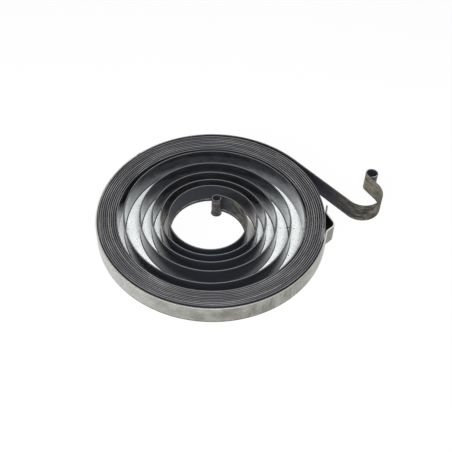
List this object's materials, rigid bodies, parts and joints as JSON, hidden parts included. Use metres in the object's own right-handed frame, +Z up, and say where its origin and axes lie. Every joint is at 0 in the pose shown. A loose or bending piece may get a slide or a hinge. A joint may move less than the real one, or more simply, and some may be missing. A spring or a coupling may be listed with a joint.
{
  "type": "recoil starter spring",
  "caption": "Flat spiral power spring of dark steel strip with a rolled inner eye, a hooked tail with a rolled eye and a sprung retaining band, for winding a starter pulley back.",
  "frame": {"origin": "on the coil's axis, at the face that it rests on", "axes": "+Z up along the coil's axis, +X the way the straight tail runs, +Y from the axis to the tail"},
  "size_m": [0.0652, 0.0801, 0.0063],
  "materials": {
    "spring_steel": "dark blued spring steel, polished faces and paler ground edges",
    "zinc_band": "dull mottled galvanised steel"
  },
  "bodies": {
    "root": {"power_spring": "spring_steel", "retaining_band": "zinc_band"}
  },
  "joints": []
}
